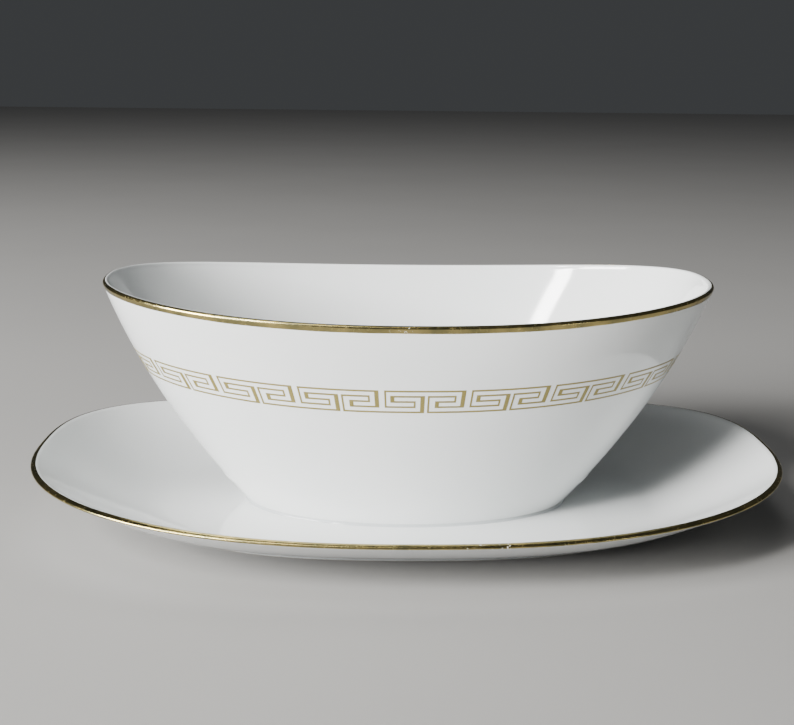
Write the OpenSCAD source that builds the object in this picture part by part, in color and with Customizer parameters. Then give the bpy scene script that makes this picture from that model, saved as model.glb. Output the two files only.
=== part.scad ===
// Oval gravy boat fixed on its own underplate, standing on an oval foot ring.
// Origin: on the table, under the middle of the foot ring. +X runs along the boat, +Z is up.

/* [Boat] */
// Length of the boat over its rim
boat_length = 196; // [160:1:236]
// Width of the boat over its rim
boat_width = 117; // [94:1:140]
// Depth of the boat from its base to the rim, at mid-length
boat_depth = 70.1; // [56:0.1:84]
// How much higher the rim stands at the two ends than at mid-length
boat_rim_rise = 5.3; // [0:0.1:9]
// Length of the base of the boat
boat_base_length = 106; // [86:1:128]
// Width of the base of the boat
boat_base_width = 61; // [50:1:74]
// How far the wall bows outwards between base and rim, as a share of its flare
boat_wall_bow = 0.47; // [0:0.01:0.8]
// Thickness of the boat's wall at its foot
boat_wall = 2.8; // [2:0.1:4]
// Thickness of the boat's wall at its rim
boat_rim_thickness = 1.9; // [1.4:0.1:3]
// Thickness of the boat's floor
boat_floor = 3.6; // [2.5:0.1:6]
// Radius between the inner wall and the floor of the boat
boat_inner_radius = 14; // [6:0.5:18]
// Squareness of the rim outline, where 2 is a plain ellipse
boat_squareness = 2.35; // [2:0.05:2.8]

/* [Underplate] */
// Length of the underplate over its rim
plate_length = 243; // [230:1:290]
// Width of the underplate over its rim
plate_width = 163; // [142:1:196]
// Height of the plate's rim above its well, at mid-length
plate_depth = 13; // [10:0.1:18]
// How much higher the plate's rim stands at the two ends than at mid-length
plate_rim_rise = 6.2; // [0:0.1:8]
// Thickness of the plate in its well
plate_thickness = 3.2; // [2.4:0.1:4.5]
// Thickness of the plate at its rim
plate_rim_thickness = 1.7; // [1.4:0.1:3]
// How far in from its edge the top of the plate's lip is rounded
plate_lip_reach = 1.7; // [1:0.1:3]
// Shape of the plate's rise from well to rim, where 1 is straight
plate_flare = 1.6; // [1:0.05:2.4]
// Shape of the underside's rise from foot to rim, where 1 is straight
plate_under_flare = 1.42; // [1:0.02:2.4]
// Squareness of the plate's outline, where 2 is a plain ellipse
plate_squareness = 2.6; // [2:0.02:3]

/* [Foot ring] */
// Length of the foot ring
foot_length = 160; // [132:1:190]
// Width of the foot ring
foot_width = 92; // [80:1:111]
// Height of the foot ring
foot_height = 2.5; // [1.5:0.1:4]
// Width of the foot ring's tread
foot_wall = 3.4; // [2:0.1:5]
// Flat of the plate's underside left outside the foot ring
foot_margin = 1; // [0.5:0.1:3]
// Squareness of the foot's outline, where 2 is a plain ellipse
foot_squareness = 2.56; // [2:0.02:3]

/* [Luting seam] */
// How far the seam of slip reaches out over the plate
seam_reach = 0.9; // [0.6:0.1:3]
// How far the seam of slip climbs the boat's wall
seam_rise = 0.9; // [0.6:0.1:3]

/* [Gilding] */
// Thickness of the fired gold on the rims and of the key band
gold_film = 0.12; // [0.08:0.01:0.3]
// How far down the outside of the boat's rim its gold line reaches
boat_gold_width = 2.2; // [1.5:0.1:4]
// Where the boat's gold line ends on its lip, in degrees from 0 outside to 90 on the crest
boat_gold_end = 80; // [50:1:85]
// Where the plate's gold line begins on its lip, in degrees from 0 at the edge, less than 0 under it
plate_gold_start = -20; // [-40:1:40]
// Where the plate's gold line ends on its lip, in degrees up to 90 on the crest
plate_gold_end = 84; // [55:1:85]

/* [Key band] */
// Drop from the boat's rim to the top of the band, at mid-length
band_drop = 20; // [14:0.1:26]
// Height of the band, measured upright
band_height = 7.4; // [5:0.1:9]
// Share of the rim's end rise that the band follows
band_rise_share = 0.7; // [0:0.05:1]
// Number of pairs of hooks round the boat
band_repeats = 18; // [12:1:20]
// Width of the thin lines
band_line = 0.55; // [0.3:0.05:0.65]
// Width of the thick upright bars
band_bar = 1.25; // [0.6:0.05:1.4]
// Width of the short blocks in the hooks
band_block = 1.2; // [0.5:0.05:1.3]
// Shift of the pattern round the boat, as a share of one pair
band_shift = -0.32; // [-0.5:0.01:0.5]

/* [Hidden] */

STEPS = 64;
SADDLE_POWER = 2.2;
// How late the outline turns from an ellipse at the base to its squareness at the rim
SQUARING_POWER = 2.5;
PORCELAIN = [0.93, 0.94, 0.94];
BISCUIT = [0.86, 0.83, 0.78];
BRIGHT_GOLD = [0.66, 0.53, 0.22];
FLAT_GOLD = [0.72, 0.62, 0.36];

well_z = foot_height + plate_thickness;
boat_rim_z = well_z + boat_depth;
plate_rim_z = well_z + plate_depth;
floor_z = well_z + boat_floor;

// Unit superellipse of squareness n, at direction f
function unit_x(n, f) = cos(f) / pow(pow(abs(cos(f)), n) + pow(abs(sin(f)), n), 1 / n);
function unit_y(n, f) = sin(f) / pow(pow(abs(cos(f)), n) + pow(abs(sin(f)), n), 1 / n);
function direction(j) = 360 * j / STEPS;
function mix(a, b, t) = a + (b - a) * t;
function saddle(n, f) = pow(abs(unit_x(n, f)), SADDLE_POWER);

// ---- Boat: each point of its section is [half length, half width, height, squareness] ----

function boat_top(f) = boat_rim_z + boat_rim_rise * saddle(boat_squareness, f);
function bow(t) = t + boat_wall_bow * t * (1 - t);
function bow_slope(t) = 1 + boat_wall_bow * (1 - 2 * t);
function slant(rim, base, t) = norm([1, (rim - base) / 2 * bow_slope(t) / boat_depth]);
// How far up the wall a height lies, from 0 at the base to 1 at the widest part of the lip
function wall_share(z, f) = (z - well_z) / (boat_top(f) - boat_rim_thickness / 2 - well_z);

// A point on the wall at height z, moved in from the outer face by the given depth
function wall_point(z, f, depth) = let (t = wall_share(z, f))
    [mix(boat_base_length, boat_length, bow(t)) / 2 - depth * slant(boat_length, boat_base_length, t),
     mix(boat_base_width, boat_width, bow(t)) / 2 - depth * slant(boat_width, boat_base_width, t),
     z, mix(2, boat_squareness, pow(t, SQUARING_POWER))];
// A point on the inside of the wall, which thins towards the rim
function inner_point(z, f) = wall_point(z, f, mix(boat_wall, boat_rim_thickness, wall_share(z, f)));

// Heights of the band's edges and of the gold line's lower edge
function band_top_z(f) = boat_rim_z - band_drop
    + band_rise_share * boat_rim_rise * saddle(boat_squareness, f);
function band_bottom_z(f) = band_top_z(f) - band_height;
function gold_edge_z(f) = boat_top(f) - boat_gold_width;

// A point on a rounded lip with the given reach and thickness, from 0 degrees outside to 90 on top
function lip_point(half_length, half_width, top, n, reach, thick, turn) =
    [half_length - reach * (1 - cos(turn)), half_width - reach * (1 - cos(turn)),
     top - thick / 2 * (1 - sin(turn)), n];

function boat_outside(f) = let (low = well_z + seam_rise, b = band_bottom_z(f), g = gold_edge_z(f))
    [wall_point(well_z, f, 0), wall_point(low, f, 0),
     for (k = [1:4]) wall_point(mix(low, b, k / 4), f, 0),
     for (k = [0:2]) wall_point(mix(band_top_z(f), g, k / 2), f, 0)];
function boat_lip(f) = let (edge = wall_point(boat_top(f) - boat_rim_thickness / 2, f, 0))
    [for (turn = [0, boat_gold_end / 2, boat_gold_end, 90, 135, 180])
        lip_point(edge[0], edge[1], boat_top(f), boat_squareness, boat_rim_thickness / 2,
                  boat_rim_thickness, turn)];
function boat_inside(f) = let (low = floor_z + boat_inner_radius, high = boat_top(f) - boat_rim_thickness,
                               foot = inner_point(low, f))
    [for (k = [0:4]) inner_point(mix(high, low, k / 4), f),
     for (turn = [30:30:90]) let (inset = boat_inner_radius * (1 - cos(turn)))
        [foot[0] - inset, foot[1] - inset, low - boat_inner_radius * sin(turn), foot[3]]];
function boat_section(f) = concat(boat_outside(f), boat_lip(f), boat_inside(f));

// Places of the shared rings in the boat's section
SEAM_RING = 1;
BAND_RING = 5;
GOLD_RING = 8;
GOLD_END_RING = 11;

// ---- Underplate ----

well_half_length = foot_length / 2 + foot_margin;
well_half_width = foot_width / 2 + foot_margin;

function plate_top(f) = plate_rim_z + plate_rim_rise * saddle(plate_squareness, f);
// A point on the plate, from 0 at the edge of the well to 1 at the rim, between two heights
function plate_point(u, low, high, flare) =
    [mix(well_half_length, plate_length / 2 - plate_lip_reach, u),
     mix(well_half_width, plate_width / 2 - plate_lip_reach, u),
     mix(low, high, pow(u, flare)), mix(foot_squareness, plate_squareness, u)];
function plate_under(f) = [for (u = [0:0.2:0.8])
    plate_point(u, foot_height, plate_top(f) - plate_rim_thickness, plate_under_flare)];
function plate_lip(f) = [for (turn = concat(-90, (plate_gold_start - 90) / 2,
        [for (k = [0:3]) mix(plate_gold_start, plate_gold_end, k / 3)], 90))
    lip_point(plate_length / 2, plate_width / 2, plate_top(f), plate_squareness,
              plate_lip_reach, plate_rim_thickness, turn)];
function plate_over(f) = [for (u = [0.8, 0.6, 0.4, 0.2, 0])
    plate_point(u, well_z, plate_top(f), plate_flare)];
function plate_section(f) = concat(plate_under(f), plate_lip(f), plate_over(f));
PLATE_GOLD_RING = 7;
PLATE_GOLD_END_RING = 10;

// ---- Lofting: a section is worked out in each direction and joined to its neighbours ----

function place(p, f) = [p[0] * unit_x(p[3], f), p[1] * unit_y(p[3], f), p[2]];
function ring_count(sections) = len(sections[0]);
function loft_points(sections) = [for (i = [0:ring_count(sections) - 1], j = [0:STEPS - 1])
    place(sections[j][i], direction(j))];
// Two triangles from corner a, round b and c, to d
function quad_faces(a, b, c, d, flip) = flip ? [[a, b, c], [a, c, d]] : [[c, b, a], [d, c, a]];
function side_faces(rings, closed, flip) =
    [for (i = [0:rings - (closed ? 1 : 2)], j = [0:STEPS - 1])
        let (next = (j + 1) % STEPS, up = (i + 1) % rings)
        each quad_faces(i * STEPS + j, i * STEPS + next, up * STEPS + next, up * STEPS + j, flip)];

// A solid body, capped flat on its first and last rings
module shell(sections) {
    rings = ring_count(sections);
    polyhedron(loft_points(sections), concat(side_faces(rings, false, false),
        [[for (j = [0:STEPS - 1]) j],
         [for (j = [STEPS - 1:-1:0]) (rings - 1) * STEPS + j]]), convexity = 8);
}

// A closed ring whose section comes back to where it began
module hoop(sections) {
    polyhedron(loft_points(sections), side_faces(ring_count(sections), true, true), convexity = 8);
}

// A film on rings first to last of a section, standing proud by its thickness
function part_of(list, first, last) = [for (i = [first:last]) list[i]];
function turned_out(before, here, after, depth) =
    let (run = [after[0] - before[0], after[2] - before[2]], n = [run[1], -run[0]] / norm(run))
    [here[0] + depth * n[0], here[1] + depth * n[0], here[2] + depth * n[1], here[3]];
function film(section, first, last) = concat(part_of(section, first, last),
    [for (i = [last:-1:first]) turned_out(section[i - 1], section[i], section[i + 1], gold_film)]);

module underplate() {
    color(PORCELAIN) shell([for (j = [0:STEPS - 1]) plate_section(direction(j))]);
}

module foot_outline(inset) {
    polygon([for (j = [0:STEPS - 1]) let (f = direction(j))
        [(foot_length / 2 - inset) * unit_x(foot_squareness, f),
         (foot_width / 2 - inset) * unit_y(foot_squareness, f)]]);
}

module foot_ring() {
    color(BISCUIT) linear_extrude(height = foot_height)
        difference() {
            foot_outline(0);
            foot_outline(foot_wall);
        }
}

module boat() {
    color(PORCELAIN) shell([for (j = [0:STEPS - 1]) boat_section(direction(j))]);
}

// Section of the fillet of slip; its free face sinks from wall to plate in a hollow curve
function seam_section(f) =
    let (foot = wall_point(well_z, f, 0), top = wall_point(well_z + seam_rise, f, 0))
    [foot, top,
     for (turn = [30:30:90]) let (out = 1 - cos(turn), down = 1 - sin(turn))
        [mix(top[0], foot[0] + seam_reach, out), mix(top[1], foot[1] + seam_reach, out),
         mix(well_z, top[2], down), foot[3]]];

module luting_seam() {
    color(PORCELAIN) hoop([for (j = [0:STEPS - 1]) seam_section(direction(j))]);
}

module boat_rim_gilding() {
    color(BRIGHT_GOLD) hoop([for (j = [0:STEPS - 1])
        film(boat_section(direction(j)), GOLD_RING, GOLD_END_RING)]);
}

module underplate_rim_gilding() {
    color(BRIGHT_GOLD) hoop([for (j = [0:STEPS - 1])
        film(plate_section(direction(j)), PLATE_GOLD_RING, PLATE_GOLD_END_RING)]);
}

// ---- Key band: one line that runs all the way round the wall in hooks ----

// Edges of the band, as the boat's own corners, and the length round its middle
band_low = [for (j = [0:STEPS]) place(boat_section(direction(j))[BAND_RING], direction(j))];
band_high = [for (j = [0:STEPS]) place(boat_section(direction(j))[BAND_RING + 1], direction(j))];
band_middle = (band_low + band_high) / 2;
band_lengths = [for (j = 0, run = 0; j <= STEPS;
    run = run + norm(band_middle[min(j + 1, STEPS)] - band_middle[j]), j = j + 1) [run, j]];
band_round = band_lengths[STEPS][0];
repeat_length = band_round / band_repeats;

// One pair of hooks, as corners [place along the pair, row down from the top, width of the next run]
ROWS = 4;
PAIR = [[0, 4, "line"], [0, 1, "line"], [0.31, 1, "line"], [0.31, 2, "line"], [0.1, 2, "block"],
        [0.1, 3, "line"], [0.4, 3, "bar"], [0.4, 0, "line"],
        [-0.5, 0, "line"], [-0.5, 3, "line"], [-0.16, 3, "line"], [-0.16, 2, "line"],
        [-0.42, 2, "block"], [-0.42, 1, "line"], [-0.07, 1, "bar"], [-0.07, 4, "line"]];
function half_width(kind) = (kind == "bar" ? band_bar : kind == "block" ? band_block : band_line) / 2;
row_pitch = (band_height - band_line) / ROWS;

// Corners of the whole line, as [length round, height up the band, half width of the next run]
key_line = [for (r = [0:band_repeats - 1], p = PAIR)
    [(p[0] - r + band_shift + band_repeats) * repeat_length,
     band_line / 2 + (ROWS - p[1]) * row_pitch, half_width(p[2])]];
function corner(i) = let (n = len(key_line), lap = i < 0 ? 1 : i >= n ? -1 : 0)
    key_line[(i + n) % n] + [lap * band_round, 0, 0];

// Left-hand side of the run that starts at corner i, as long as half its width
function run_side(i) = let (a = corner(i), d = corner(i + 1) - a)
    a[2] * [-sign(round(d[1] * 100)), sign(round(d[0] * 100))];
// The boat's own edges that a level run crosses, in the order in which it meets them
function crossings(a, b) = let (gap = band_bar / 2 + 0.1, low = min(a, b) + gap, high = max(a, b) - gap,
    found = [for (lap = [-1:1], e = band_lengths) let (s = e[0] + lap * band_round)
        if (e[1] < STEPS && s > low && s < high) s])
    b > a ? found : [for (i = [len(found) - 1:-1:0]) found[i]];

// Every point of the line, as [length round, height, half width vector to its left side]
key_path = [for (i = [0:len(key_line) - 1])
    let (here = corner(i), next = corner(i + 1), side = run_side(i))
    each concat([[here[0], here[1], run_side(i - 1) + side]],
        here[1] != next[1] ? [] : [for (s = crossings(here[0], next[0])) [s, here[1], side]])];

// A point on the wall at length s round the band and height v up it, lifted off by the given film
function on_wall(s, v, lift) =
    let (turn = lookup((s + band_round) % band_round, band_lengths), j = min(floor(turn), STEPS - 1),
         low = mix(band_low[j], band_low[j + 1], turn - j),
         high = mix(band_high[j], band_high[j + 1], turn - j),
         out = cross(band_middle[j + 1] - band_middle[j], high - low))
    mix(low, high, v / band_height) + lift * out / norm(out);

key_points = [for (p = key_path, lift = [0, gold_film], way = [1, -1])
    on_wall(p[0] + way * p[2][0], p[1] + way * p[2][1], lift)];

module key_band() {
    count = len(key_path);
    // Corners of the line's section: 0 left and 1 right on the wall, 2 left and 3 right outside
    edges = [[0, 1], [1, 3], [3, 2], [2, 0]];
    color(FLAT_GOLD) polyhedron(key_points, [for (i = [0:count - 1], e = edges)
        let (next = (i + 1) % count)
        each quad_faces(4 * i + e[0], 4 * i + e[1], 4 * next + e[1], 4 * next + e[0], false)],
        convexity = 8);
}

underplate();
foot_ring();
boat();
luting_seam();
boat_rim_gilding();
underplate_rim_gilding();
key_band();
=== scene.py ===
"""Gravy boat fixed on its underplate: the fine meshes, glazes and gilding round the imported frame."""
import math

import bmesh
import bpy
import numpy as np
from mathutils import Matrix, Vector


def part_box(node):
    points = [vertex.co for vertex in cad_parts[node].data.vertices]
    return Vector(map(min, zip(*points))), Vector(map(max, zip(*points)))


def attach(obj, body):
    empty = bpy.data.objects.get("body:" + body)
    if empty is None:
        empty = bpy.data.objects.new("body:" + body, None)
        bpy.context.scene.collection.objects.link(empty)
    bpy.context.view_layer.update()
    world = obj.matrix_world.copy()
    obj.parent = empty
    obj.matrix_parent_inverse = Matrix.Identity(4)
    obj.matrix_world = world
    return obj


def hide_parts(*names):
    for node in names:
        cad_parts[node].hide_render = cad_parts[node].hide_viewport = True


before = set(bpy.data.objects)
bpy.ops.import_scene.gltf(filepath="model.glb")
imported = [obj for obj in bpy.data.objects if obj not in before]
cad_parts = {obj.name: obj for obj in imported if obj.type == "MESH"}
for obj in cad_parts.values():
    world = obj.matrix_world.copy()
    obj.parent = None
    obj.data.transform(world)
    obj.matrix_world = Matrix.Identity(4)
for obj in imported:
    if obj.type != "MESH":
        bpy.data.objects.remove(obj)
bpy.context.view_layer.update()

BODY = "root"
MM = 0.001

# ---- Sizes read from the frame's own solids ----

BOAT_LOW, BOAT_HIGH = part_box("boat")
PLATE_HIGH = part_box("underplate")[1]
FOOT_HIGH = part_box("foot_ring")[1]
SEAM_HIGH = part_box("luting_seam")[1]

# ---- Sizes and shapes that the solids' boxes don't give, as in the part's source ----

BOAT_RIM_RISE = 5.3 * MM
BOAT_WALL = 2.8 * MM
BOAT_RIM_THICKNESS = 1.9 * MM
BOAT_FLOOR = 3.6 * MM
BOAT_INNER_RADIUS = 14 * MM
WALL_BOW = 0.47
BOAT_SQUARENESS = 2.35
BASE_SQUARENESS = 2.0
SQUARING_POWER = 2.5
PLATE_RIM_RISE = 6.2 * MM
PLATE_RIM_THICKNESS = 1.7 * MM
PLATE_LIP_REACH = 1.7 * MM
PLATE_FLARE = 1.6
PLATE_UNDER_FLARE = 1.42
PLATE_SQUARENESS = 2.6
FOOT_WALL = 3.4 * MM
FOOT_MARGIN = 1.0 * MM
FOOT_SQUARENESS = 2.56
SADDLE_POWER = 2.2
SEAM_REACH = 0.9 * MM
SEAM_RISE = 0.9 * MM
BOAT_GOLD_WIDTH = 2.2 * MM
# Where the gold lines begin and end on their lips, in degrees: 0 is the outside and 90 the crest
BOAT_GOLD_END = 80
PLATE_GOLD_START = -20
PLATE_GOLD_END = 84
BAND_DROP = 20.0 * MM
BAND_HEIGHT = 7.4 * MM
BAND_RISE_SHARE = 0.7
BAND_REPEATS = 18
BAND_LINE = 0.55 * MM
BAND_BAR = 1.25 * MM
BAND_BLOCK = 1.2 * MM
# Shift of the key round the boat, in pairs of hooks
BAND_SHIFT = -0.32

# ---- Values that only the fine meshes need ----

# How far fired gold stands proud of the glaze
GOLD_PROUD = 0.05 * MM
KEY_PROUD = 0.04 * MM
# The brushed edge of a gold line wanders by this much
BRUSH_WANDER = 0.07 * MM
# The foot's tread is rounded off by this much at both edges
TREAD_EASE = 0.7 * MM
# Rings up each face, over each lip and round each corner
OUTSIDE_RINGS = 56
INSIDE_RINGS = 44
CORNER_RINGS = 15
PLATE_RINGS = 40
LIP_RINGS = 17
FILLET_RINGS = 13
TREAD_RINGS = 7
GOLD_WALL_RINGS = 8
BOAT_GOLD_RINGS = 12
PLATE_GOLD_RINGS = 14
# Longest stretch of the key's line between two of its points
KEY_STEP = 0.9 * MM
# Points of the key closer than this are joined, and edges that turn by more than this stay sharp
KEY_WELD = 0.002 * MM
KEY_SHARP = math.radians(40)

# ---- Heights and half sizes worked out from the boxes ----

WELL_Z = BOAT_LOW.z
BOAT_RIM_Z = BOAT_HIGH.z - BOAT_RIM_RISE
PLATE_RIM_Z = PLATE_HIGH.z - PLATE_RIM_RISE
FLOOR_Z = WELL_Z + BOAT_FLOOR
BOAT_HALF = np.array([BOAT_HIGH.x, BOAT_HIGH.y])
BASE_HALF = np.array([SEAM_HIGH.x - SEAM_REACH, SEAM_HIGH.y - SEAM_REACH])
PLATE_HALF = np.array([PLATE_HIGH.x, PLATE_HIGH.y])
FOOT_HALF = np.array([FOOT_HIGH.x, FOOT_HIGH.y])
WELL_HALF = FOOT_HALF + FOOT_MARGIN

# Columns round each lofted piece
COLUMNS = 480
# The direction of each column, from +X towards +Y
TURN = np.linspace(0, 2 * np.pi, COLUMNS, endpoint=False)


# ---- Shape functions, each worked out in every direction at once ----

def level(value):
    """One value in every direction."""
    return value + np.zeros(COLUMNS)


def unit_outline(squareness):
    """Points of the unit superellipse in each direction, as x and y."""
    c, s = np.cos(TURN), np.sin(TURN)
    reach = (np.abs(c) ** squareness + np.abs(s) ** squareness) ** (-1 / squareness)
    return c * reach, s * reach


def saddle(squareness):
    """0 at mid-length to 1 at the two ends."""
    return np.abs(unit_outline(squareness)[0]) ** SADDLE_POWER


def mix(a, b, t):
    return a + (b - a) * t


def boat_top():
    return BOAT_RIM_Z + BOAT_RIM_RISE * saddle(BOAT_SQUARENESS)


def plate_top():
    return PLATE_RIM_Z + PLATE_RIM_RISE * saddle(PLATE_SQUARENESS)


def wall_share(z):
    """How far up the wall a height lies, from 0 at the base to 1 at the widest part of the lip."""
    return np.maximum(z - WELL_Z, 0.0) / (boat_top() - BOAT_RIM_THICKNESS / 2 - WELL_Z)


def wall_point(z, depth=0.0):
    """Half length, half width, height and squareness of the boat's wall at height z, moved in by depth."""
    t = wall_share(z)
    bowed = t + WALL_BOW * t * (1 - t)
    slope = (1 + WALL_BOW * (1 - 2 * t)) / (BOAT_RIM_Z - WELL_Z)
    half = [mix(BASE_HALF[i], BOAT_HALF[i], bowed)
            - depth * np.hypot(1, (BOAT_HALF[i] - BASE_HALF[i]) * slope) for i in (0, 1)]
    return half[0], half[1], level(z), mix(BASE_SQUARENESS, BOAT_SQUARENESS, t ** SQUARING_POWER)


def lip_point(half, top, squareness, reach, thick, angle):
    """A point on a rounded lip; angle is 0 on the outside and a quarter turn on top."""
    inset = reach * (1 - np.cos(angle))
    rise = top - thick / 2 * (1 - np.sin(angle))
    return level(half[0] - inset), level(half[1] - inset), rise, level(squareness)


def placed(point):
    """The ring of 3-D points that a section point sweeps round the object."""
    ux, uy = unit_outline(point[3])
    return np.stack([point[0] * ux, point[1] * uy, level(point[2])], axis=1)


def boat_wall_rings(low, high, count, inside=False):
    """Rings up the wall between two heights, both included; the wall thins towards the rim."""
    heights = [mix(low, high, k / (count - 1)) for k in range(count)]
    return [wall_point(z, mix(BOAT_WALL, BOAT_RIM_THICKNESS, wall_share(z)) if inside else 0.0)
            for z in heights]


def boat_section():
    """Rings from the edge of the base, up the outside, over the lip and down to the floor's edge."""
    widest = boat_top() - BOAT_RIM_THICKNESS / 2
    edge = wall_point(widest)
    outside = boat_wall_rings(level(WELL_Z), widest, OUTSIDE_RINGS)[:-1]
    lip = [lip_point(edge[:2], boat_top(), BOAT_SQUARENESS, BOAT_RIM_THICKNESS / 2, BOAT_RIM_THICKNESS, a)
           for a in np.linspace(0, np.pi, LIP_RINGS)]
    low = FLOOR_Z + BOAT_INNER_RADIUS
    inside = boat_wall_rings(boat_top() - BOAT_RIM_THICKNESS, level(low), INSIDE_RINGS, inside=True)
    foot = inside[-1]
    corner = [(foot[0] - BOAT_INNER_RADIUS * (1 - math.cos(a)),
               foot[1] - BOAT_INNER_RADIUS * (1 - math.cos(a)),
               level(low - BOAT_INNER_RADIUS * math.sin(a)), foot[3])
              for a in np.linspace(0, np.pi / 2, CORNER_RINGS)[1:]]
    return outside + lip + inside + corner


def plate_point(share, low, high, flare):
    """A point on the plate from the edge of its well, 0, to its rim, 1."""
    rim = PLATE_HALF - PLATE_LIP_REACH
    return (level(mix(WELL_HALF[0], rim[0], share)), level(mix(WELL_HALF[1], rim[1], share)),
            mix(low, high, share ** flare),
            level(mix(FOOT_SQUARENESS, PLATE_SQUARENESS, share)))


def plate_section():
    """Rings from the foot outwards under the plate, over its lip and back down to the well's edge."""
    shares = np.linspace(0, 1, PLATE_RINGS)
    under = [plate_point(s, FOOT_HIGH.z, plate_top() - PLATE_RIM_THICKNESS, PLATE_UNDER_FLARE)
             for s in shares[:-1]]
    lip = [lip_point(PLATE_HALF, plate_top(), PLATE_SQUARENESS, PLATE_LIP_REACH, PLATE_RIM_THICKNESS, a)
           for a in np.linspace(-np.pi / 2, np.pi / 2, LIP_RINGS)]
    over = [plate_point(s, WELL_Z, plate_top(), PLATE_FLARE) for s in shares[::-1][1:]]
    return under + lip + over


# ---- Mesh making ----

def link_object(name, data):
    """An object that stands at the origin of the scene."""
    made = bpy.data.objects.new(name, data)
    bpy.context.scene.collection.objects.link(made)
    return made


def register(name, mesh, node):
    """A mesh as a piece that rides on the body and stands for one CAD node."""
    piece = link_object(name, mesh)
    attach(piece, BODY)
    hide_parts(node)
    return piece


def finish_mesh(name, verts, faces, material, node):
    """A smooth piece made from its points and faces."""
    mesh = bpy.data.meshes.new(name)
    mesh.from_pydata([tuple(v) for v in verts], [], faces)
    mesh.polygons.foreach_set("use_smooth", [True] * len(mesh.polygons))
    mesh.materials.append(material)
    mesh.update()
    return register(name, mesh, node)


def side_quads(rings, closed):
    """Faces between neighbouring rings, and from the last back to the first on a closed section."""
    faces = []
    for i in range(rings if closed else rings - 1):
        up = (i + 1) % rings
        for j in range(COLUMNS):
            k = (j + 1) % COLUMNS
            faces.append((i * COLUMNS + j, i * COLUMNS + k, up * COLUMNS + k, up * COLUMNS + j))
    return faces


# Rings that close a flat middle, as shares of its outline
CAP_SHARES = (0.85, 0.7, 0.55, 0.4, 0.25, 0.1)


def cap(verts, faces, ring, flip):
    """Fills the flat middle inside one ring with smaller rings, and says where its pole goes."""
    last = ring
    middle = verts[ring * COLUMNS:(ring + 1) * COLUMNS]
    pole = np.array([[0.0, 0.0, middle[:, 2].mean()]])
    for share in CAP_SHARES:
        new = pole + (middle - pole) * [share, share, 1.0]
        verts = np.concatenate([verts, new])
        here = len(verts) // COLUMNS - 1
        for j in range(COLUMNS):
            k = (j + 1) % COLUMNS
            quad = (last * COLUMNS + j, last * COLUMNS + k, here * COLUMNS + k, here * COLUMNS + j)
            faces.append(quad[::-1] if flip else quad)
        last = here
    return verts, faces, last, pole


def shell(name, section, material, node):
    """A closed body whose first and last rings are capped."""
    verts = np.concatenate([placed(p) for p in section])
    faces = side_quads(len(section), False)
    poles = []
    rings = len(section)
    for ring, flip in ((0, True), (rings - 1, False)):
        verts, faces, last, pole = cap(verts, faces, ring, flip)
        poles.append((last, pole, flip))
    for last, pole, flip in poles:
        centre = len(verts)
        verts = np.concatenate([verts, pole])
        for j in range(COLUMNS):
            tri = (last * COLUMNS + j, last * COLUMNS + (j + 1) % COLUMNS, centre)
            faces.append(tri[::-1] if flip else tri)
    return finish_mesh(name, verts, faces, material, node)


def hoop(name, rings, material, node):
    """A closed ring whose section comes back to where it began, given as rings of points."""
    piece = finish_mesh(name, np.concatenate(rings), side_quads(len(rings), True), material, node)
    work = bmesh.new()
    work.from_mesh(piece.data)
    bmesh.ops.recalc_face_normals(work, faces=work.faces)
    work.to_mesh(piece.data)
    work.free()


# ---- Shader groups shared by several finishes ----

def new_group(name, inputs, outputs):
    """An empty shader node group with named inputs (name, kind, default) and outputs (name, kind)."""
    group = bpy.data.node_groups.new(name, "ShaderNodeTree")
    for label, kind, default in inputs:
        socket = group.interface.new_socket(name=label, in_out="INPUT", socket_type=kind)
        if default is not None:
            socket.default_value = default
    for label, kind in outputs:
        group.interface.new_socket(name=label, in_out="OUTPUT", socket_type=kind)
    return group, group.nodes.new("NodeGroupInput"), group.nodes.new("NodeGroupOutput")


def add(tree, kind, **settings):
    """A node with its plain settings; a key that names an input sets that socket's value."""
    node = tree.nodes.new(kind)
    for key, value in settings.items():
        if hasattr(node, key):
            setattr(node, key, value)
        else:
            node.inputs[key].default_value = value
    return node


def noise(tree, vector, scale, detail=3.0, roughness=0.5):
    """Plain noise at a vector, 0 to 1."""
    node = add(tree, "ShaderNodeTexNoise", Scale=scale, Detail=detail, Roughness=roughness)
    tree.links.new(vector, node.inputs["Vector"])
    return node.outputs[0]


def remap(tree, value, low, high, to_low=0.0, to_high=1.0):
    """Maps a value from one range to another, held inside the second."""
    node = add(tree, "ShaderNodeMapRange", clamp=True)
    node.inputs["From Min"].default_value = low
    node.inputs["From Max"].default_value = high
    node.inputs["To Min"].default_value = to_low
    node.inputs["To Max"].default_value = to_high
    tree.links.new(value, node.inputs["Value"])
    return node.outputs["Result"]


def maths(tree, operation, a, b=0.0):
    """One sum of two values, each a socket or a plain number; some sums read only the first."""
    node = add(tree, "ShaderNodeMath", operation=operation)
    for socket, value in zip(node.inputs, (a, b)):
        if isinstance(value, (int, float)):
            socket.default_value = value
        else:
            tree.links.new(value, socket)
    return node.outputs["Value"]


def colour_mix(tree, factor, a, b):
    """Mixes two colours, each a socket or a plain colour, by a socket's value."""
    node = add(tree, "ShaderNodeMix", data_type="RGBA")
    tree.links.new(factor, node.inputs["Factor"])
    sockets = [s for s in node.inputs if s.type == "RGBA"]
    for socket, value in zip(sockets, (a, b)):
        if isinstance(value, tuple):
            socket.default_value = (*value, 1.0)
        else:
            tree.links.new(value, socket)
    return [s for s in node.outputs if s.type == "RGBA"][0]


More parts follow.
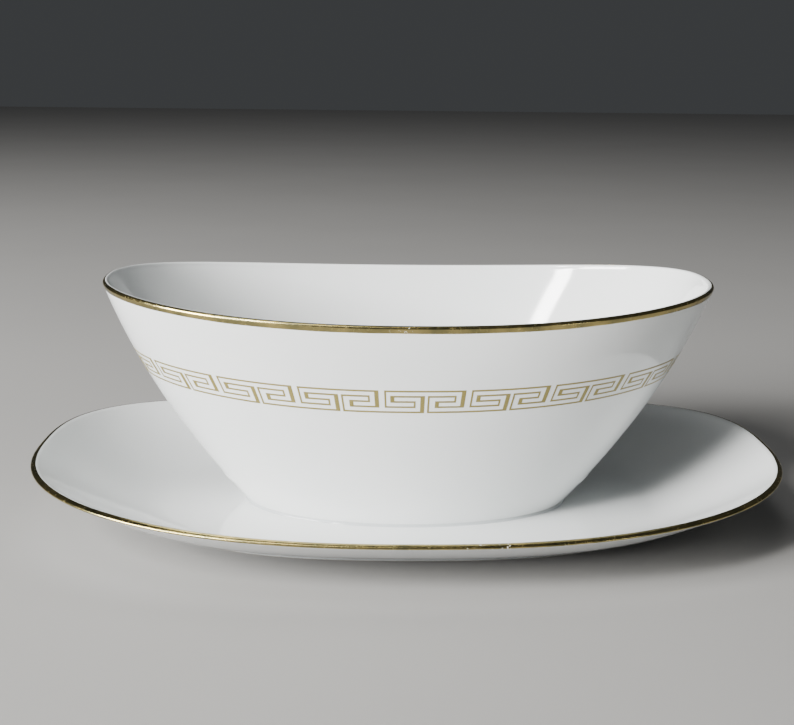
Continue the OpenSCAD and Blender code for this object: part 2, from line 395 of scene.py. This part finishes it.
def make_glaze_group():
    """The slow ripple of a fired glaze, its faint mottle and its rare pinholes."""
    group, start, end = new_group("Fired glaze", [
        ("Position", "NodeSocketVector", None),
        ("Ripple scale", "NodeSocketFloat", 38.0),
        ("Mottle scale", "NodeSocketFloat", 22.0),
        ("Pinhole scale", "NodeSocketFloat", 130.0),
    ], [("Ripple", "NodeSocketFloat"), ("Mottle", "NodeSocketFloat"), ("Pinholes", "NodeSocketFloat")])
    where = start.outputs["Position"]
    ripple = add(group, "ShaderNodeTexNoise", Detail=1.5, Roughness=0.45)
    group.links.new(where, ripple.inputs["Vector"])
    group.links.new(start.outputs["Ripple scale"], ripple.inputs["Scale"])
    group.links.new(ripple.outputs[0], end.inputs["Ripple"])
    mottle = add(group, "ShaderNodeTexNoise", Detail=4.0, Roughness=0.55)
    group.links.new(where, mottle.inputs["Vector"])
    group.links.new(start.outputs["Mottle scale"], mottle.inputs["Scale"])
    group.links.new(remap(group, mottle.outputs[0], 0.3, 0.7), end.inputs["Mottle"])
    cells = add(group, "ShaderNodeTexVoronoi", feature="F1")
    group.links.new(where, cells.inputs["Vector"])
    group.links.new(start.outputs["Pinhole scale"], cells.inputs["Scale"])
    dots = remap(group, cells.outputs["Distance"], 0.035, 0.06, 1.0, 0.0)
    rare = add(group, "ShaderNodeSeparateColor")
    group.links.new(cells.outputs["Color"], rare.inputs[0])
    chosen = maths(group, "GREATER_THAN", rare.outputs[0], 0.965)
    group.links.new(maths(group, "MULTIPLY", dots, chosen), end.inputs["Pinholes"])
    return group


def make_rub_group():
    """Where years of wiping have rubbed fired gold: small flecks that gather round one spot."""
    group, start, end = new_group("Rubbed gilding", [
        ("Position", "NodeSocketVector", None),
        ("Spot", "NodeSocketVector", (0.006, -0.070, 0.0)),
        ("Spot reach", "NodeSocketFloat", 0.024),
        ("Fleck scale", "NodeSocketFloat", 900.0),
        ("Amount", "NodeSocketFloat", 0.5),
    ], [("Worn", "NodeSocketFloat"), ("Dulled", "NodeSocketFloat"), ("Hairlines", "NodeSocketFloat")])
    where = start.outputs["Position"]
    level = add(group, "ShaderNodeVectorMath", operation="MULTIPLY")
    group.links.new(where, level.inputs[0])
    level.inputs[1].default_value = (1.0, 1.0, 0.0)
    away = add(group, "ShaderNodeVectorMath", operation="DISTANCE")
    group.links.new(level.outputs["Vector"], away.inputs[0])
    group.links.new(start.outputs["Spot"], away.inputs[1])
    far = maths(group, "DIVIDE", away.outputs["Value"], start.outputs["Spot reach"])
    gathered = remap(group, far, 0.35, 1.0, 1.0, 0.0)
    fleck = add(group, "ShaderNodeTexNoise", Detail=5.0, Roughness=0.62)
    group.links.new(where, fleck.inputs["Vector"])
    group.links.new(start.outputs["Fleck scale"], fleck.inputs["Scale"])
    edge = maths(group, "SUBTRACT", 0.78, maths(group, "MULTIPLY", gathered,
                 maths(group, "MULTIPLY", start.outputs["Amount"], 0.3)))
    over = maths(group, "SUBTRACT", fleck.outputs[0], edge)
    group.links.new(remap(group, over, 0.0, 0.04), end.inputs["Worn"])
    group.links.new(remap(group, fleck.outputs[0], 0.35, 0.7), end.inputs["Dulled"])
    stretch = add(group, "ShaderNodeMapping")
    stretch.inputs["Scale"].default_value = (0.12, 0.12, 3.0)
    group.links.new(where, stretch.inputs["Vector"])
    lines = noise(group, stretch.outputs[0], 1400.0, 2.0)
    group.links.new(lines, end.inputs["Hairlines"])
    return group


GLAZE_GROUP = make_glaze_group()
RUB_GROUP = make_rub_group()


def place_group(tree, group, vector, **values):
    """A group in a material, reading the object's own coordinates, with its own values."""
    node = tree.nodes.new("ShaderNodeGroup")
    node.node_tree = group
    tree.links.new(vector, node.inputs["Position"])
    for label, value in values.items():
        node.inputs[label.replace("_", " ")].default_value = value
    return node


def new_material(name, **principled):
    """A material with its Principled shader, plain socket values set, and the object's coordinates."""
    material = bpy.data.materials.new(name)
    material.use_nodes = True
    tree = material.node_tree
    shader = tree.nodes["Principled BSDF"]
    for label, value in principled.items():
        shader.inputs[label.replace("_", " ")].default_value = value
    where = tree.nodes.new("ShaderNodeTexCoord").outputs["Object"]
    return material, tree, shader, where


def bump(tree, shader, height, strength, distance):
    """Lets a height roughen the surface of a shader."""
    node = add(tree, "ShaderNodeBump", Strength=strength, Distance=distance)
    tree.links.new(height, node.inputs["Height"])
    tree.links.new(node.outputs["Normal"], shader.inputs["Normal"])


# ---- Finishes ----

PORCELAIN = (0.80, 0.815, 0.81)
PORCELAIN_COOL = (0.765, 0.79, 0.79)
# Painted shade: a darker grey glaze for the seam's fillet and the foot's sides, where shade falls in the
# crease and under the plate
PAINTED_SHADE_GREY = (0.52, 0.54, 0.55)
PAINTED_SHADE_GREY_COOL = (0.46, 0.49, 0.50)
PINHOLE = (0.52, 0.50, 0.46)
BISCUIT = (0.70, 0.66, 0.60)
BISCUIT_GREY = (0.50, 0.48, 0.45)
GOLD = (0.55, 0.44, 0.175)
GOLD_OLIVE = (0.28, 0.25, 0.115)
KEY_GOLD = (0.215, 0.175, 0.050)
KEY_GOLD_PALE = (0.29, 0.24, 0.078)
# Middles of the two worn stretches, on the near lips of the plate and of the boat, and their reach
WORN_ON_PLATE = (0.020, -0.081, 0.0)
WORN_ON_PLATE_REACH = 0.015
WORN_ON_BOAT = (-0.003, -0.058, 0.0)
WORN_ON_BOAT_REACH = 0.012
# Height over the table at which the foot's glaze begins and is whole
GLAZE_BEGINS = 0.25 * MM
GLAZE_WHOLE = 0.45 * MM


def porcelain_material(name, body_tone, cool):
    """White porcelain under a clear glaze that lies a little thicker and cooler in patches; given the
    darker grey, the same glaze with painted shade.
    """
    material, tree, shader, where = new_material(name, IOR=1.5, Specular_IOR_Level=0.62)
    glaze = place_group(tree, GLAZE_GROUP, where)
    tone = colour_mix(tree, glaze.outputs["Mottle"], body_tone, cool)
    tone = colour_mix(tree, maths(tree, "MULTIPLY", glaze.outputs["Pinholes"], 0.7), tone, PINHOLE)
    tree.links.new(tone, shader.inputs["Base Color"])
    tree.links.new(remap(tree, glaze.outputs["Mottle"], 0.0, 1.0, 0.06, 0.10), shader.inputs["Roughness"])
    bump(tree, shader, glaze.outputs["Ripple"], 0.35, 0.0006)
    return material


def foot_material():
    """The foot: glaze on its sides in a darker grey, painted shade under the plate, and ground bare and a
    little grey where it meets the table.
    """
    material, tree, shader, where = new_material("Ground foot", IOR=1.5)
    glaze = place_group(tree, GLAZE_GROUP, where, Mottle_scale=60.0)
    split = tree.nodes.new("ShaderNodeSeparateXYZ")
    tree.links.new(where, split.inputs[0])
    grain = noise(tree, where, 2400.0, 3.0, 0.6)
    wander = maths(tree, "MULTIPLY", maths(tree, "SUBTRACT", grain, 0.5), 0.3 * MM)
    bare = remap(tree, maths(tree, "ADD", split.outputs["Z"], wander), GLAZE_BEGINS, GLAZE_WHOLE,
                 1.0, 0.0)
    biscuit = colour_mix(tree, remap(tree, grain, 0.35, 0.7), BISCUIT, BISCUIT_GREY)
    # Painted shade: the sides' glaze is the darker grey, for the shade under the plate
    shaded_glaze = colour_mix(tree, glaze.outputs["Mottle"], PAINTED_SHADE_GREY, PAINTED_SHADE_GREY_COOL)
    tree.links.new(colour_mix(tree, bare, shaded_glaze, biscuit), shader.inputs["Base Color"])
    tree.links.new(remap(tree, bare, 0.0, 1.0, 0.09, 0.72), shader.inputs["Roughness"])
    bump(tree, shader, maths(tree, "MULTIPLY", grain, bare), 0.5, 0.0001)
    return material


def bright_gold_material():
    """Burnished gold, brushed on by hand: olive where it lies thin, rubbed to the glaze in flecks."""
    material, tree, shader, where = new_material("Burnished gold", IOR=1.5)
    rub = place_group(tree, RUB_GROUP, where, Spot=WORN_ON_PLATE, Spot_reach=WORN_ON_PLATE_REACH,
                      Amount=0.52)
    rub_high = place_group(tree, RUB_GROUP, where, Spot=WORN_ON_BOAT, Spot_reach=WORN_ON_BOAT_REACH,
                           Amount=0.50)
    worn = maths(tree, "MAXIMUM", rub.outputs["Worn"], rub_high.outputs["Worn"])
    brush = noise(tree, where, 160.0, 3.0)
    tone = colour_mix(tree, remap(tree, brush, 0.35, 0.65), GOLD, GOLD_OLIVE)
    tone = colour_mix(tree, worn, tone, PORCELAIN)
    tree.links.new(tone, shader.inputs["Base Color"])
    tree.links.new(maths(tree, "SUBTRACT", 1.0, worn), shader.inputs["Metallic"])
    tree.links.new(remap(tree, rub.outputs["Dulled"], 0.0, 1.0, 0.16, 0.30), shader.inputs["Roughness"])
    bump(tree, shader, rub.outputs["Hairlines"], 0.12, 0.00008)
    return material


def key_gold_material():
    """Transfer-printed gold: flatter, paler and finely grained, with pinpricks where the print broke."""
    material, tree, shader, where = new_material("Printed gold", IOR=1.45)
    rub = place_group(tree, RUB_GROUP, where, Fleck_scale=1900.0, Amount=0.5)
    grain = noise(tree, where, 3200.0, 4.0, 0.6)
    tone = colour_mix(tree, remap(tree, grain, 0.3, 0.7), KEY_GOLD, KEY_GOLD_PALE)
    tone = colour_mix(tree, maths(tree, "MULTIPLY", rub.outputs["Worn"], 0.8), tone, PORCELAIN)
    tree.links.new(tone, shader.inputs["Base Color"])
    tree.links.new(remap(tree, rub.outputs["Dulled"], 0.0, 1.0, 0.2, 0.45), shader.inputs["Metallic"])
    tree.links.new(remap(tree, grain, 0.3, 0.7, 0.34, 0.5), shader.inputs["Roughness"])
    bump(tree, shader, grain, 0.2, 0.00003)
    return material


PORCELAIN_GLAZE = porcelain_material("Glazed porcelain", PORCELAIN, PORCELAIN_COOL)
# The seam's glaze is the darker grey: painted shade in the crease between boat and plate
SEAM_PAINTED_SHADE_GLAZE = porcelain_material("Glaze darkened as painted shade in the seam", PAINTED_SHADE_GREY, PAINTED_SHADE_GREY_COOL)
FOOT_FINISH = foot_material()
BRIGHT_GOLD = bright_gold_material()
KEY_GOLD_FINISH = key_gold_material()


# ---- The porcelain ----

def make_boat():
    return shell("boat_body", boat_section(), PORCELAIN_GLAZE, "boat")


def make_underplate():
    shell("underplate_body", plate_section(), PORCELAIN_GLAZE, "underplate")


def make_seam():
    """The fillet of slip in the corner between boat and plate, hollow on its free face."""
    foot = wall_point(level(WELL_Z))
    climb = boat_wall_rings(level(WELL_Z), level(WELL_Z + SEAM_RISE), 5)
    top = climb[-1]
    hollow = []
    for angle in np.linspace(0, np.pi / 2, FILLET_RINGS)[1:]:
        out, down = 1 - math.cos(angle), 1 - math.sin(angle)
        hollow.append((mix(top[0], foot[0] + SEAM_REACH, out), mix(top[1], foot[1] + SEAM_REACH, out),
                       mix(WELL_Z, top[2], down), foot[3]))
    # The fillet's darker glaze is painted shade in the corner
    hoop("slip_fillet", [placed(p) for p in climb + hollow], SEAM_PAINTED_SHADE_GLAZE, "luting_seam")


def make_foot():
    """The foot ring, with its tread rounded off at both edges."""
    corner = np.linspace(0, np.pi / 2, TREAD_RINGS)
    inner = FOOT_WALL - TREAD_EASE
    section = [(0.0, FOOT_HIGH.z)]
    section += [(TREAD_EASE * (1 - math.cos(a)), TREAD_EASE * (1 - math.sin(a))) for a in corner]
    section += [(inner + TREAD_EASE * math.sin(a), TREAD_EASE * (1 - math.cos(a))) for a in corner]
    section += [(FOOT_WALL, FOOT_HIGH.z)]
    rings = [placed((FOOT_HALF[0] - inset, FOOT_HALF[1] - inset, z, level(FOOT_SQUARENESS)))
             for inset, z in section]
    hoop("foot_ring_body", rings, FOOT_FINISH, "foot_ring")


# ---- The gilding ----

def wander(phase):
    """The slow unevenness of a line brushed by hand on a turning wheel, from -1 to 1."""
    return (np.sin(7 * TURN + phase) + 0.7 * np.sin(19 * TURN + 2.3 * phase)
            + 0.4 * np.sin(43 * TURN + 4.1 * phase)) / 2.1


def film(name, path, node):
    """A thin film that covers a path of section points, stands proud of it and thins at its edges."""
    rings = [placed(p) for p in path]
    last = len(rings) - 1
    lifted = []
    for i, ring in enumerate(rings):
        across = rings[min(i + 1, last)] - rings[max(i - 1, 0)]
        onward = np.roll(ring, -1, axis=0) - np.roll(ring, 1, axis=0)
        out = np.cross(onward, across)
        out /= np.linalg.norm(out, axis=1, keepdims=True)
        fullness = min(1.0, 0.25 + min(i, last - i) / 2)
        lifted.append(ring + GOLD_PROUD * fullness * out)
    hoop(name, rings + lifted[::-1], BRIGHT_GOLD, node)


def make_boat_gold():
    """The gold line from just outside the crest of the boat's lip down its outside."""
    lowest = boat_top() - BOAT_GOLD_WIDTH + BRUSH_WANDER * wander(0.6)
    radius = BOAT_RIM_THICKNESS / 2
    edge = wall_point(boat_top() - radius)
    last = math.radians(BOAT_GOLD_END) + BRUSH_WANDER / radius * wander(1.4)
    down = boat_wall_rings(lowest, boat_top() - radius, GOLD_WALL_RINGS)[:-1]
    over = [lip_point(edge[:2], boat_top(), BOAT_SQUARENESS, radius, 2 * radius, last * share)
            for share in np.linspace(0, 1, BOAT_GOLD_RINGS)]
    film("boat_gold_line", down + over, "boat_rim_gilding")


def make_plate_gold():
    """The gold line on the plate's lip, from just under its edge nearly to its crest."""
    first, last = (math.radians(a) + BRUSH_WANDER / PLATE_LIP_REACH * wander(phase)
                   for a, phase in ((PLATE_GOLD_START, 2.2), (PLATE_GOLD_END, 3.1)))
    over = [lip_point(PLATE_HALF, plate_top(), PLATE_SQUARENESS, PLATE_LIP_REACH, PLATE_RIM_THICKNESS,
                      mix(first, last, share)) for share in np.linspace(0, 1, PLATE_GOLD_RINGS)]
    film("plate_gold_line", over, "underplate_rim_gilding")


# ---- The key band: one pair of hooks, repeated and laid on the wall by Geometry Nodes ----

ROWS = 4
# Corners of one pair of hooks: place along the pair, row down from the top, width of the next run
PAIR = [(0.5, 4, BAND_LINE), (0, 4, BAND_LINE), (0, 1, BAND_LINE), (0.31, 1, BAND_LINE),
        (0.31, 2, BAND_LINE), (0.1, 2, BAND_BLOCK), (0.1, 3, BAND_LINE), (0.4, 3, BAND_BAR),
        (0.4, 0, BAND_LINE), (-0.5, 0, BAND_LINE), (-0.5, 3, BAND_LINE), (-0.16, 3, BAND_LINE),
        (-0.16, 2, BAND_LINE), (-0.42, 2, BAND_BLOCK), (-0.42, 1, BAND_LINE), (-0.07, 1, BAND_BAR),
        (-0.07, 4, BAND_LINE), (-0.5, 4, BAND_LINE)]


def band_edge(drop):
    """Ring of points on the wall at the band's upper edge, lowered by drop."""
    height = BOAT_RIM_Z - BAND_DROP + BAND_RISE_SHARE * BOAT_RIM_RISE * saddle(BOAT_SQUARENESS)
    return placed(wall_point(height - drop))


def girth(ring):
    """Length once round a closed ring of points."""
    return float(np.linalg.norm(np.roll(ring, -1, axis=0) - ring, axis=1).sum())


def key_path(pair_length):
    """Points along one pair's line, each with the half-width vector to its left side."""
    pitch = (BAND_HEIGHT - BAND_LINE) / ROWS
    spots = [np.array([place * pair_length, BAND_LINE / 2 + (ROWS - row) * pitch])
             for place, row, _ in PAIR]
    runs = [b - a for a, b in zip(spots, spots[1:])]
    lefts = [np.array([-run[1], run[0]]) / np.linalg.norm(run) * width / 2
             for run, (_, _, width) in zip(runs, PAIR)]
    path = []
    for i, (spot, run, left) in enumerate(zip(spots, runs, lefts)):
        path.append((spot, left if i == 0 else lefts[i - 1] + left))
        pieces = max(1, math.ceil(np.linalg.norm(run) / KEY_STEP))
        clear = 0.6 * BAND_BAR / np.linalg.norm(run)
        for share in np.linspace(clear, 1 - clear, pieces) if pieces > 1 else ():
            path.append((spot + run * share, left))
    path.append((spots[-1], lefts[-1]))
    return path


def key_pair_object(pair_length):
    """One pair of hooks as a flat ribbon: x along the band, y up it, z 0 on the wall and 1 outside."""
    path = key_path(pair_length)
    verts = [(*(spot + side * left), layer) for spot, left in path for layer in (0, 1) for side in (1, -1)]
    lanes = (0, 1, 3, 2)
    faces = []
    for i in range(len(path) - 1):
        for a, b in zip(lanes, lanes[1:] + lanes[:1]):
            faces.append((4 * i + a, 4 * i + 4 + a, 4 * i + 4 + b, 4 * i + b))
    mesh = bpy.data.meshes.new("key_pair")
    mesh.from_pydata(verts, [], faces)
    mesh.update()
    return link_object("key_pair", mesh)


def guide_curve(name, ring):
    """A closed guide through a ring of points."""
    data = bpy.data.curves.new(name, "CURVE")
    data.dimensions = "3D"
    spline = data.splines.new("POLY")
    spline.points.add(len(ring) - 1)
    spline.points.foreach_set("co", np.column_stack([ring, np.ones(len(ring))]).ravel())
    spline.use_cyclic_u = True
    return link_object(name, data)


def key_band_tree():
    """Repeats a flat pair in a row, bends the row round two guides and settles it on the wall."""
    tree = bpy.data.node_groups.new("Band laid on a wall", "GeometryNodeTree")
    sockets = {}
    for label, kind in (("Pair", "NodeSocketGeometry"), ("Repeats", "NodeSocketInt"),
                        ("Pair length", "NodeSocketFloat"), ("Shift", "NodeSocketFloat"),
                        ("Band height", "NodeSocketFloat"), ("Proud", "NodeSocketFloat"),
                        ("Lower edge", "NodeSocketObject"), ("Upper edge", "NodeSocketObject"),
                        ("Wall", "NodeSocketObject"), ("Finish", "NodeSocketMaterial")):
        sockets[label] = tree.interface.new_socket(name=label, in_out="INPUT", socket_type=kind)
    tree.interface.new_socket(name="Band", in_out="OUTPUT", socket_type="NodeSocketGeometry")
    start, end = tree.nodes.new("NodeGroupInput"), tree.nodes.new("NodeGroupOutput")
    link = tree.links.new

    # The row of pairs
    row = add(tree, "GeometryNodeMeshLine", mode="OFFSET")
    link(start.outputs["Repeats"], row.inputs["Count"])
    step = add(tree, "ShaderNodeCombineXYZ")
    link(start.outputs["Pair length"], step.inputs["X"])
    link(step.outputs[0], row.inputs["Offset"])
    copies = add(tree, "GeometryNodeInstanceOnPoints")
    link(row.outputs["Mesh"], copies.inputs["Points"])
    link(start.outputs["Pair"], copies.inputs["Instance"])
    real = add(tree, "GeometryNodeRealizeInstances")
    link(copies.outputs[0], real.inputs[0])

    # Share of the way round for each point, from its place along the row
    split = add(tree, "ShaderNodeSeparateXYZ")
    link(add(tree, "GeometryNodeInputPosition").outputs[0], split.inputs[0])
    whole = maths(tree, "MULTIPLY", start.outputs["Pair length"], start.outputs["Repeats"])
    shifted = maths(tree, "MULTIPLY", start.outputs["Shift"], start.outputs["Pair length"])
    moved = maths(tree, "ADD", split.outputs["X"], shifted)
    share = maths(tree, "FRACT", maths(tree, "DIVIDE", moved, whole))
    up = maths(tree, "DIVIDE", split.outputs["Y"], start.outputs["Band height"])

    # The same share on both guides, then the way up between them
    ends = []
    for label in ("Lower edge", "Upper edge"):
        guide = add(tree, "GeometryNodeObjectInfo", transform_space="ORIGINAL")
        link(start.outputs[label], guide.inputs["Object"])
        sample = add(tree, "GeometryNodeSampleCurve", mode="FACTOR", use_all_curves=True)
        link(guide.outputs["Geometry"], sample.inputs["Curves"])
        link(share, sample.inputs["Factor"])
        ends.append(sample.outputs["Position"])
    between = add(tree, "ShaderNodeMix", data_type="VECTOR")
    link(up, between.inputs["Factor"])
    vectors = [s for s in between.inputs if s.type == "VECTOR" and s.name in "AB"]
    link(ends[0], vectors[0])
    link(ends[1], vectors[1])
    flat = [s for s in between.outputs if s.type == "VECTOR"][0]

    # Settled on the wall itself, with the outer layer lifted along the wall's normal
    wall = add(tree, "GeometryNodeObjectInfo", transform_space="ORIGINAL")
    link(start.outputs["Wall"], wall.inputs["Object"])
    near = add(tree, "GeometryNodeProximity", target_element="FACES")
    link(wall.outputs["Geometry"], near.inputs[0])
    link(flat, [s for s in near.inputs if s.name in ("Source Position", "Sample Position")][0])
    facing = add(tree, "GeometryNodeSampleNearestSurface", data_type="FLOAT_VECTOR")
    link(wall.outputs["Geometry"], facing.inputs["Mesh"])
    link(add(tree, "GeometryNodeInputNormal").outputs[0], facing.inputs["Value"])
    link(flat, facing.inputs["Sample Position"])
    lift = add(tree, "ShaderNodeVectorMath", operation="SCALE")
    link(facing.outputs["Value"], lift.inputs["Vector"])
    link(maths(tree, "MULTIPLY", split.outputs["Z"], start.outputs["Proud"]), lift.inputs["Scale"])
    place = add(tree, "ShaderNodeVectorMath", operation="ADD")
    link(near.outputs["Position"], place.inputs[0])
    link(lift.outputs[0], place.inputs[1])
    laid = add(tree, "GeometryNodeSetPosition")
    link(real.outputs[0], laid.inputs["Geometry"])
    link(place.outputs[0], laid.inputs["Position"])
    welded = add(tree, "GeometryNodeMergeByDistance")
    welded.inputs["Distance"].default_value = KEY_WELD
    link(laid.outputs[0], welded.inputs["Geometry"])
    done = add(tree, "GeometryNodeRealizeInstances")
    link(welded.outputs[0], done.inputs[0])
    finish = add(tree, "GeometryNodeSetMaterial")
    link(done.outputs[0], finish.inputs["Geometry"])
    link(start.outputs["Finish"], finish.inputs["Material"])
    link(finish.outputs[0], end.inputs[0])
    return tree, sockets


def make_key_band(wall):
    """The whole Greek key as one mesh, laid on the boat's wall."""
    low, high = band_edge(BAND_HEIGHT), band_edge(0.0)
    pair_length = girth((low + high) / 2) / BAND_REPEATS
    guides = [guide_curve("band_low_edge", low), guide_curve("band_high_edge", high)]
    pair = key_pair_object(pair_length)
    tree, sockets = key_band_tree()
    modifier = pair.modifiers.new("band", "NODES")
    modifier.node_group = tree
    for label, value in (("Repeats", BAND_REPEATS), ("Pair length", pair_length), ("Shift", BAND_SHIFT),
                         ("Band height", BAND_HEIGHT), ("Proud", KEY_PROUD), ("Lower edge", guides[0]),
                         ("Upper edge", guides[1]), ("Wall", wall), ("Finish", KEY_GOLD_FINISH)):
        modifier[sockets[label].identifier] = value
    bpy.context.view_layer.update()
    evaluated = pair.evaluated_get(bpy.context.evaluated_depsgraph_get())
    mesh = bpy.data.meshes.new_from_object(evaluated)
    mesh.name = "key_band_line"
    pair.modifiers.remove(modifier)
    for spare in guides + [pair]:
        bpy.data.objects.remove(spare)
    work = bmesh.new()
    work.from_mesh(mesh)
    bmesh.ops.recalc_face_normals(work, faces=work.faces)
    for edge in work.edges:
        edge.smooth = edge.calc_face_angle(0.0) < KEY_SHARP
    for face in work.faces:
        face.smooth = True
    work.to_mesh(mesh)
    work.free()
    register("key_band_line", mesh, "key_band")


# ---- Floor, light and camera ----

FLOOR_TONE = (0.34, 0.335, 0.325)
FLOOR_TONE_LOW = (0.31, 0.305, 0.295)
FLOOR_REACH = 4.0
LIGHTS_AIM = (0.0, 0.0, 0.04)


def make_floor():
    """A plain pale floor under the foot."""
    mesh = bpy.data.meshes.new("studio_floor")
    corners = [(x * FLOOR_REACH, y * FLOOR_REACH, 0) for x, y in ((-1, -1), (1, -1), (1, 1), (-1, 1))]
    mesh.from_pydata(corners, [], [(0, 1, 2, 3)])
    material, tree, shader, where = new_material("Pale floor", Roughness=0.75)
    tone = colour_mix(tree, noise(tree, where, 6.0, 4.0), FLOOR_TONE, FLOOR_TONE_LOW)
    tree.links.new(tone, shader.inputs["Base Color"])
    mesh.materials.append(material)
    link_object("studio_floor", mesh)


def soft_light(name, azimuth, elevation, distance, size, watts, colour):
    """A rectangular soft box that faces the boat; azimuth is 0 in front and positive to the right."""
    a, e = math.radians(azimuth), math.radians(elevation)
    back = Vector((math.sin(a) * math.cos(e), -math.cos(a) * math.cos(e), math.sin(e)))
    data = bpy.data.lights.new(name, "AREA")
    data.shape = "RECTANGLE"
    data.size, data.size_y = size
    data.energy = watts
    data.color = colour
    light = link_object(name, data)
    light.location = Vector(LIGHTS_AIM) + back * distance
    light.rotation_mode = "QUATERNION"
    light.rotation_quaternion = (-back).to_track_quat("-Z", "Y")


def make_light():
    """A narrow window and a broad one to the left, a glint to the right and a little light from above."""
    soft_light("window_left", -36, 35.5, 1.5, (0.16, 0.36), 18, (1.0, 0.99, 0.97))
    soft_light("window_side", -56, 19, 1.9, (0.9, 0.7), 115, (1.0, 0.99, 0.98))
    soft_light("window_right", 35, 7, 1.9, (0.24, 0.10), 1.0, (0.97, 0.98, 1.0))
    soft_light("overhead", -40, 66, 1.7, (0.8, 0.6), 6, (1.0, 1.0, 1.0))
    world = bpy.data.worlds.new("studio")
    world.use_nodes = True
    backdrop = world.node_tree.nodes["Background"]
    backdrop.inputs["Color"].default_value = (0.80, 0.84, 0.88, 1.0)
    backdrop.inputs["Strength"].default_value = 0.06
    bpy.context.scene.world = world


# Camera place before its bearing is turned in, and lens, in millimetres; angles in degrees
CAMERA_FROM = (-3.52, -415.6, 147.7)
CAMERA_BEARING = 1.40
CAMERA_DOWN = 12.986
CAMERA_ROLL = 0.647
CAMERA_LENS = 58.36
SENSOR_WIDTH = 36.0


def make_camera():
    """The scene's camera, in front of the boat, a little above it and rolled by a hair."""
    data = bpy.data.cameras.new("camera")
    data.lens = CAMERA_LENS
    data.sensor_width = SENSOR_WIDTH
    data.clip_start = 0.02
    turn = Matrix.Rotation(-math.radians(CAMERA_BEARING), 3, "Z")
    down, roll = math.radians(CAMERA_DOWN), math.radians(CAMERA_ROLL)
    forward = turn @ Vector((0.0, math.cos(down), -math.sin(down)))
    level = forward.cross(Vector((0.0, 0.0, 1.0))).normalized()
    upright = level.cross(forward)
    right = level * math.cos(roll) + upright * math.sin(roll)
    top = upright * math.cos(roll) - level * math.sin(roll)
    camera = link_object("camera", data)
    axes = Matrix((right, top, -forward)).transposed()
    camera.matrix_world = Matrix.Translation(turn @ Vector(CAMERA_FROM) * MM) @ axes.to_4x4()
    bpy.context.scene.camera = camera


make_camera()
make_floor()
make_light()
boat_body = make_boat()
make_underplate()
make_foot()
make_seam()
make_boat_gold()
make_plate_gold()
make_key_band(boat_body)
